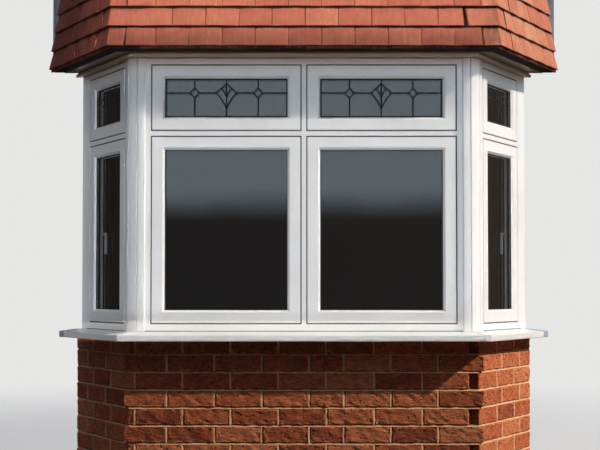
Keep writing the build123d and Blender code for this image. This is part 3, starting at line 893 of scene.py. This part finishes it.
# Hung tiles: machine-made plain clay tiles, nailed in broken joint so that each
# course laps the one below. Angle tiles of the same clay turn the two corners.
apron_low, apron_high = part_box("tile_apron_front")
side_extra = 0.04
gauge = 0.102
step_back = 0.012
tile = Vector((0.1645, 0.012, 0.165))
tile_pitch = 0.1672
tile_rounding = 0.0016
camber = 0.0038
camber_along = camber * 0.6
row_overrun = 0.2
eaves_out = -apron_low.y - projection
under_drop = 0.014
eaves_z = apron_low.z + under_drop
courses = round((apron_high.z - eaves_z) / gauge)
lean = math.atan2(step_back + tile.y, gauge)
first_joint = {"odd": 0.0886, "even": 0.0060}
front_leg = {"odd": 0.081, "even": 0.154}
side_leg = {"odd": 0.16, "even": 0.09}
usual_joint = 0.006
side_joint = 0.002
open_joints = {(-1, 0): 0.0145, (-1, 1): 0.003, (1, 0): 0.013, (1, 1): 0.026, (-1, 2): 0.008}
# Painted light and shade: tiles on the sunlit right facet are paler, those on the shaded left facet
# darker.
facet_lit_tone = {"front": 0.11, "left": 0.0, "right": 0.27}
facet_cant = {"front": -0.012, "left": 0.006, "right": -0.004}
# Painted shade: the undercourse, under the first course, is much darker.
under_course_shade_tone = -0.3

# Weathered matt clay: every tile has its own red, with streaks where rain runs and a
# sandy grain. Painted shade darkens each tail's underside, and a painted shadow runs as a
# dark line under the lap of the next course.
streak_width = 0.012
streak_length = 0.25
weather_patch = 0.0909
clay_grit = 0.00238
lap_line = 0.1005
lap_shadow_height = 0.007
lap_waver = 0.008
lap_patch = 0.0417
clay_tile, shade, place = new_material("Plain clay tile")
tone = shade("Attribute", attribute_name="tone").outputs["Fac"]
up = shade("Attribute", attribute_name="up").outputs["Fac"]
run_down = shade("VectorMath", place, (1 / streak_width, 1 / streak_width, 1 / streak_length),
                 operation="MULTIPLY")
streaks = shade("TexNoise", Vector=run_down, Scale=1, Detail=4, Roughness=0.6)
weather = shade("TexNoise", Vector=place, Scale=1 / weather_patch, Detail=5, Roughness=0.65)
streaked = shade("Math", streaks, 0.45, shade("Math", weather, 0.4, operation="MULTIPLY"),
                 operation="MULTIPLY_ADD")
tones = shade("ValToRGB", shade("Math", streaked, tone, operation="ADD"), stops=[
    (0.14, "#38201B"), (0.34, "#8E4F42"), (0.52, "#B06451"), (0.74, "#C0745C"),
    (0.95, "#D49C7C")])
clay_grain = shade("TexNoise", Vector=place, Scale=1 / clay_grit, Detail=4, Roughness=0.7)
specks = shade("MapRange", clay_grain, 0.3, 0.5, 0.86, 1.03)
# Painted shadow: a dark line just below where the next course laps, and painted shade on the tail's
# underside.
waver = shade("TexNoise", Vector=place, Scale=1 / lap_patch, Detail=3)
lap_shadow = shade("MapRange", shade("Math", waver, lap_waver, up, operation="MULTIPLY_ADD"),
               lap_line - lap_shadow_height, lap_line, 1, 0.1, interpolation_type="SMOOTHSTEP")
tile_painted_shade = shade("Math", lap_shadow, shade("MapRange", up, 0, tile_rounding, 0.4, 1),
              operation="MULTIPLY")
specked_and_shaded = shade("VectorMath", tones, operation="SCALE",
                  Scale=shade("Math", specks, tile_painted_shade, operation="MULTIPLY"))
shade("OutputMaterial", shade(
    "BsdfPrincipled", Base_Color=specked_and_shaded, Roughness=0.82, Specular_IOR_Level=0.25,
    Normal=shade("Bump", Height=clay_grain, Strength=0.45, Distance=0.0008)))

tile_tree, build, sizes = new_geometry_tree(
    "Course of hung tiles", Tile="Object", Material="Material", Tiles="Int", Pitch="Float",
    Lean="Float", Cant="Float", Looseness="Float", Tone="Float", Seed="Int")
on_batten = build("GeometryNodeMeshLine", Count=sizes["Tiles"],
                  Offset=build("CombineXYZ", X=sizes["Pitch"]))
slack = build("FunctionNodeRandomValue", Min=(-0.8, -1, -0.5), Max=(0.8, 1, 0.5),
              Seed=sizes["Seed"], data_type="FLOAT_VECTOR")
tilt = build("VectorMath", slack, build("CombineXYZ", *[sizes["Looseness"]] * 3),
             build("CombineXYZ", X=sizes["Lean"], Z=sizes["Cant"]), operation="MULTIPLY_ADD")
hung = build("GeometryNodeInstanceOnPoints", Points=on_batten, Rotation=tilt,
             Instance=build("GeometryNodeObjectInfo", Object=sizes["Tile"]).outputs["Geometry"])
own_tone = build("FunctionNodeRandomValue", Min=0, Max=0.2, Seed=sizes["Seed"], data_type="FLOAT")
toned = build("GeometryNodeStoreNamedAttribute", data_type="FLOAT", domain="INSTANCE",
              Geometry=hung, Name="tone",
              Value=build("Math", sizes["Tone"], own_tone, operation="ADD"))
end_tree(build, sizes, toned)

form = rounded_block(tile, tile_rounding, (8, 1, 5))
layer = form.verts.layers.float.new("up")
for vertex in form.verts:
    vertex[layer] = vertex.co.z + tile.z / 2
    across, along = 2 * vertex.co.x / tile.x, 2 * vertex.co.z / tile.z
    vertex.co.y += camber * across ** 2 + camber_along * along ** 2
    vertex.co += Vector((0, tile.y / 2 - camber_along, tile.z / 2))
tile_model = new_piece("tile_model", form, clay_tile)


def hip_point(out):
    """Plan corner of the tiles this far out, where the sides stand out further."""
    return corner_point(out, out + side_extra)


def hip_in_frame(facet, sign, out, height):
    """The right or left hip at a height, in a facet's own frame."""
    point = hip_point(out)
    world = Vector((sign * point.x, point.y, height))
    return on_facet(facet).inverted() @ world


def course_place(course):
    """Whether a course is odd or even, how far out its tails stand, and how high."""
    kind = "even" if course % 2 else "odd"
    if course < 0:
        return kind, eaves_out - tile.y, eaves_z - under_drop
    return kind, eaves_out - course * step_back, eaves_z + course * gauge


def hang_course(facet, course):
    """Full tiles of one course, cut along the angle tiles and at the house wall."""
    signs = {"front": (-1, 1), "left": (-1,), "right": (1,)}[facet]
    kind, out, foot = course_place(course)
    start = first_joint[kind] + tile_pitch / 2
    low = {"front": -hip_point(out).x, "left": -facet_length - row_overrun, "right": 0}[facet]
    high = {"front": hip_point(out).x, "left": 0, "right": facet_length + row_overrun}[facet]
    first = start + tile_pitch * math.floor((low - start) / tile_pitch)
    extra = 0 if facet == "front" else side_extra
    row = made_by(tile_tree, "tile_row", bpy.data.meshes.new("tile_row"), Tile=tile_model,
                  Material=clay_tile, Tiles=math.ceil((high - first) / tile_pitch) + 1,
                  Pitch=tile_pitch, Lean=-lean, Cant=facet_cant[facet], Looseness=0.018,
                  Tone=facet_lit_tone[facet] if course >= 0 else under_course_shade_tone,
                  Seed=10 * course + facets.index(facet) + 20)
    row.data.transform(Matrix.Translation((first, -out - extra, foot)))
    for sign in signs:
        leg = (front_leg if facet == "front" else side_leg)[kind]
        leg += open_joints.get((sign, course), usual_joint) if facet == "front" else side_joint
        bottom = hip_in_frame(facet, sign, out, foot)
        lift = hip_in_frame(facet, sign, out - step_back, foot + gauge) - bottom
        outwards = sign if facet == "front" else -sign
        normal = Vector((0, 1, 0)).cross(lift).normalized()
        if normal.x * outwards < 0:
            normal = -normal
        cut_away(row, bottom - Vector((outwards * leg, 0, 0)), normal)
    row.data.transform(on_facet(facet))
    cut_away(row, (0, -wall_gap, 0), (0, 1, 0))
    cut_away(row, (0, 0, apron_high.z), (0, 0, 1))
    return row


for facet in facets:
    hung_tiles = joined(f"hung_tiles_{facet}",
                        [hang_course(facet, course) for course in range(-1, courses)])
    fit(hung_tiles, "clay_tile", f"tile_apron_{facet}")
bpy.data.objects.remove(tile_model)

# Battens: sawn softwood strips nailed along the boarding, one for the heads of each
# course to hang on. Treatment has made them nearly black.
batten = Vector((0, 0.011, 0.038))
head_lap = 0.012
top_margin = 0.002
apron_depth = 0.03


def batten_edge(height, depth):
    """Half plan and height of a batten's edge, this far outside the boarding."""
    out = eaves_out - apron_depth - (height - eaves_z) * step_back / gauge + depth
    return [hip_point(out), wall_point(out + side_extra)], height


form = bmesh.new()
for course in range(courses):
    top = min(eaves_z + course * gauge + tile.z - head_lap, apron_high.z - top_margin)
    add_band(form, [batten_edge(top - batten.z, 0), batten_edge(top, 0),
                    batten_edge(top, batten.y), batten_edge(top - batten.z, batten.y)])
shell("battens", form, sawn_timber("Treated softwood, battens", 0, stain_and_painted_shade), "softwood")

# Angle tiles: two legs pressed in one piece and fired like the other tiles. They are
# hung long and short leg in turn, so that the corners break joint too.
leg_cells = 4
tile_rows = 5
angle_tone = 0.22
angle_tone_lit_side = 0.06
angle_tone_spread = 0.1
tone_draw = Vector((3.7, 1.3, 0.5))


def add_angle_tile(form, layers, side, out, foot, legs, tone):
    """One angle tile: two legs in one piece, bent to the angle of the corner."""
    along = on_facet("right").to_3x3() @ Vector((1, 0, 0))
    rings = []
    for row in range(tile_rows + 1):
        rise = tile.z * math.cos(lean) * row / tile_rows
        ring = []
        for inset in (0, tile.y):
            arris = Vector((*hip_point(out - rise * math.tan(lean) - inset), foot + rise))
            points = []
            for cell in range(-leg_cells, leg_cells + 1):
                reach = legs[cell > 0] * cell / leg_cells
                bow = camber * (cell / leg_cells) ** 2
                spot = arris + (Vector((reach, bow, 0)) if cell < 0 else
                                along * reach - Vector((bow, 0, 0)))
                vertex = form.verts.new((side * spot.x, spot.y, spot.z))
                vertex[layers["tone"]] = tone
                vertex[layers["up"]] = tile.z * row / tile_rows
                points.append(vertex)
            ring += reversed(points) if inset else points
        rings.append(ring)
    skin(form, rings)


form = bmesh.new()
for word in ("tone", "up"):
    form.verts.layers.float.new(word)
for side in (-1, 1):
    for course in range(-1, courses):
        kind, out, foot = course_place(course)
        chance = noise.cell(tone_draw * Vector((side, course, 1)))
        # Painted light and shade: right-hand angle tiles are paler, left-hand ones darker.
        tone = angle_tone + side * angle_tone_lit_side + angle_tone_spread * chance
        add_angle_tile(form, form.verts.layers.float, side, out, foot,
                       (front_leg[kind], side_leg[kind]), tone if course >= 0 else under_course_shade_tone)
angle_tiles = shell("angle_tiles", form, clay_tile, "clay_tile")
cut_away(angle_tiles, (0, 0, apron_high.z), (0, 0, 1))

# Roof covering and flashings: milled sheet lead, dressed over the deck and down over
# the top tiles, and chased into the house wall. It is dull, with a pale clouded patina
# and the dents of the dresser.
patina_patch = 0.143
dresser_dent = 0.0333
sheet_lead = mottled("Milled sheet lead", patina_patch, 6,
                     [(0.3, "#6F767E"), (0.5, "#8A929B"), (0.72, "#A6AEB6")],
                     (dresser_dent, 2, 0.5, 0.002), 0.65, Metallic=0.35, Roughness=0.55)
finish_node(sheet_lead, "lead_sheet", "lead_roof", "wall_flashings")

# Rolls: the sheets of the roof meet over round wooden cores. The lead is dressed round
# each core and bossed down over its front end.
sheet_thickness = 0.004
roll_radius = 0.021
roll_middle = 0.012
roll_bite = 0.0005
roll_pitch = 0.62
roll_from_wall = 0.006
roll_from_edge = 0.004
roll_unevenness = 0.05
dents_across, dents_along = 9, 12
roll_end = 0.5
roll_steps = 30
arc_steps = 12
arc_start = 215
arc_turn = 250
lead_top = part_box("roof_deck")[1].z + sheet_thickness
roll_front = eaves_out - (apron_high.z - eaves_z) * step_back / gauge - roll_from_edge
form = bmesh.new()
for x in (-roll_pitch, 0, roll_pitch):
    rings = []
    for number in range(roll_steps + 1):
        length = roll_from_wall - projection - roll_front
        y = -roll_from_wall + length * number / roll_steps
        size = 1 + roll_unevenness * noise.noise(
            Vector((x * dents_across, y * dents_along, 0)))
        size *= roll_end if number == roll_steps else 1
        ring = []
        for step in range(arc_steps + 1):
            angle = math.radians(arc_start - arc_turn * step / arc_steps)
            across, rise = math.cos(angle) * roll_radius, math.sin(angle) * roll_radius
            z = lead_top - roll_bite + (roll_middle + rise) * size
            ring.append(form.verts.new((x + across * size, y, z)))
        rings.append(ring)
    skin(form, rings)
for face in form.faces:
    face.smooth = len(face.verts) == 4
shell("lead_rolls", form, sheet_lead, "lead_sheet")

# Studio: a plain pale floor that fades into the pale world, and a soft fill from above,
# weaker on the left, and from behind, where it lights the open back. The floor is pale
# to the camera and returns little light, as dull paving would.
floor_half = 14
floor_clear = 3.0
floor_gone = 9.0


def shown_rays(shade):
    """1 for what the camera sees, straight or by way of gloss or glass, else 0."""
    rays = shade("LightPath").outputs
    seen = shade("Math", rays["Is Camera Ray"], rays["Is Glossy Ray"], operation="ADD")
    return shade("Math", seen, rays["Is Transmission Ray"], operation="ADD", use_clamp=True)


floor_paint, shade, place = new_material("Pale floor")
paint = shade("BsdfPrincipled", Base_Color=linear("#D6D5D2"), Roughness=0.9)
dull = shade("BsdfDiffuse", linear("#3E3B37"))
distance = shade("VectorMath", place, operation="LENGTH").outputs["Value"]
fade = shade("MapRange", distance, floor_clear, floor_gone, interpolation_type="SMOOTHSTEP")
faded = shade("MixShader", fade, paint, shade("BsdfTransparent"))
shade("OutputMaterial", shade("MixShader", shown_rays(shade), dull, faded))
form = bmesh.new()
bmesh.ops.create_grid(form, size=floor_half)
new_piece("studio_floor", form, floor_paint)

world = bpy.data.worlds.new("Studio")
world.use_nodes = True
bpy.context.scene.world = world
world.node_tree.nodes.clear()
shade = functools.partial(add_node, world.node_tree)
way = shade("SeparateXYZ", shade("TexCoord").outputs["Generated"]).outputs
overhead = shade("MapRange", way["Z"], 0.4, 0.95, 0.02, 0.95, interpolation_type="SMOOTHSTEP")
behind = shade("MapRange", way["Y"], 0.05, 0.4, 0, 0.75, interpolation_type="SMOOTHSTEP")
far_side = shade("MapRange", way["X"], -0.5, 0.1, 0.6, 1)
above = shade("Math", overhead, far_side, operation="MULTIPLY")
fill = shade("Background", linear("#CFDCF3"), shade("Math", above, behind, operation="MAXIMUM"))
backdrop = shade("Background", linear("#E6E6E5"), 1)
shade("OutputWorld", shade("MixShader", shown_rays(shade), fill, backdrop))

# Lamps: one hard key lamp at the right draws the shadows. Soft boxes with grids keep
# their fill on the windows and the tiles, so that the wall under the sill stays dark,
# and a strip light picks out the nose of the sill.


def add_lamp(name, shape, size, watts, colour, aim, azimuth, elevation, distance, grid=None):
    """A lamp that looks at a point from above, and from so far right of the camera.

    With a grid, it throws its light within that many degrees and isn't seen itself.
    """
    lamp = bpy.data.lights.new(name, "AREA")
    lamp.shape = shape
    lamp.size, lamp.size_y = size
    lamp.energy = watts
    lamp.color = linear(colour)[:3]
    stand = bpy.data.objects.new(name, lamp)
    turn, rise = math.radians(azimuth), math.radians(elevation)
    direction = Vector((math.sin(turn) * math.cos(rise), -math.cos(turn) * math.cos(rise),
                        math.sin(rise)))
    across = (Vector((1, 0, 0)) - direction * direction.x).normalized()
    facing = Matrix((across, direction.cross(across), direction)).transposed()
    stand.location = Vector(aim) + direction * distance
    stand.rotation_euler = facing.to_euler()
    bpy.context.scene.collection.objects.link(stand)
    if grid:
        lamp.spread = math.radians(grid)
        stand.visible_camera = stand.visible_glossy = stand.visible_transmission = False


add_lamp("key", "DISK", (0.25, 0.25), 4200, "#FFF5EA", (0, -0.3, 1.5), 74, 37.5, 20)
add_lamp("soft_box_windows", "RECTANGLE", (2.62, 1.34), 4.7, "#DFE7F0",
         (0, -0.6, 1.69), 5, 4, 7, 1.2)
add_lamp("soft_box_low", "RECTANGLE", (2.5, 1.1), 1.5, "#FAF5EE",
         (-0.06, -0.6, 1.5), 5, 4, 7, 1.2)
add_lamp("soft_box_tiles", "RECTANGLE", (1.86, 0.69), 3.65, "#F3F2F0",
         (0, -0.65, 2.81), 24, 26, 7, 1.2)
add_lamp("strip_light_sill", "RECTANGLE", (2.9, 0.1), 0.36, "#F8F6F2",
         (0, -0.66, 0.937), 0, 2, 2.5, 0.5)

# Backdrops of felt, which the camera doesn't see: a dark one behind the glass for the
# unlit room, brown ones at both sides where the house wall would take the light, and
# a dark one far in front, which the big panes mirror up to its soft top edge.
flag_top = 3.05
flag_fade = 0.7
wall_edge = 1.44
side_edge = 1.26
by_wall = 0.003


def felt(name, colour, fade_from=None):
    """Felt of one colour, which may thin out to nothing from a height up."""
    material, shade, place = new_material(name)
    cloth = shade("BsdfPrincipled", Base_Color=linear(colour), Roughness=1)
    if fade_from is not None:
        fade = shade("MapRange", shade("SeparateXYZ", place).outputs["Z"], fade_from, flag_top,
                     interpolation_type="SMOOTHSTEP")
        cloth = shade("MixShader", fade, cloth, shade("BsdfTransparent"))
    shade("OutputMaterial", cloth)
    return material


black_felt = felt("Black felt", "#1A1613")
brown_felt = felt("Brown felt", "#50402F")
soft_felt = felt("Felt with a soft top edge", "#3A322C", flag_top - flag_fade)
for name, material, low, high, y, used_by in (
        ("backdrop_room", black_felt, (-7, 0), (7, 5), 1.2, "transmission"),
        ("backdrop_front", soft_felt, (-9, 0), (9, flag_top), -16, "glossy transmission"),
        ("backdrop_left", brown_felt, (-9, 0), (-wall_edge, 8), by_wall,
         "glossy transmission diffuse"),
        ("backdrop_right", brown_felt, (wall_edge, 0), (9, 8), by_wall,
         "glossy transmission diffuse"),
        ("backdrop_left_edge", brown_felt, (-wall_edge, 0), (-side_edge, 3.1), by_wall, "glossy"),
        ("backdrop_right_edge", brown_felt, (side_edge, 0), (wall_edge, 3.1), by_wall, "glossy")):
    form = bmesh.new()
    form.faces.new([form.verts.new(corner) for corner in (
        (low[0], y, low[1]), (high[0], y, low[1]), (high[0], y, high[1]), (low[0], y, high[1]))])
    screen = new_piece(name, form, material)
    screen.visible_camera = screen.visible_shadow = False
    screen.visible_glossy = "glossy" in used_by
    screen.visible_transmission = "transmission" in used_by
    screen.visible_diffuse = "diffuse" in used_by

# Camera: a little higher than the sill, in front of the middle of the bay, and pitched
# slightly up.
focal_pixels = 1228
picture_width = 600
frame_rise = 30
pitch = 1.73
sensor = 36
camera_data = bpy.data.cameras.new("camera")
camera_data.sensor_width = sensor
camera_data.lens = sensor * focal_pixels / picture_width
camera_data.shift_y = frame_rise / picture_width
camera = bpy.data.objects.new("camera", camera_data)
camera.location = (-0.02, -6.809, 1.13)
camera.rotation_euler = (math.radians(90 + pitch), 0, 0)
bpy.context.scene.collection.objects.link(camera)
bpy.context.scene.camera = camera
bpy.context.scene.view_settings.view_transform = "Standard"
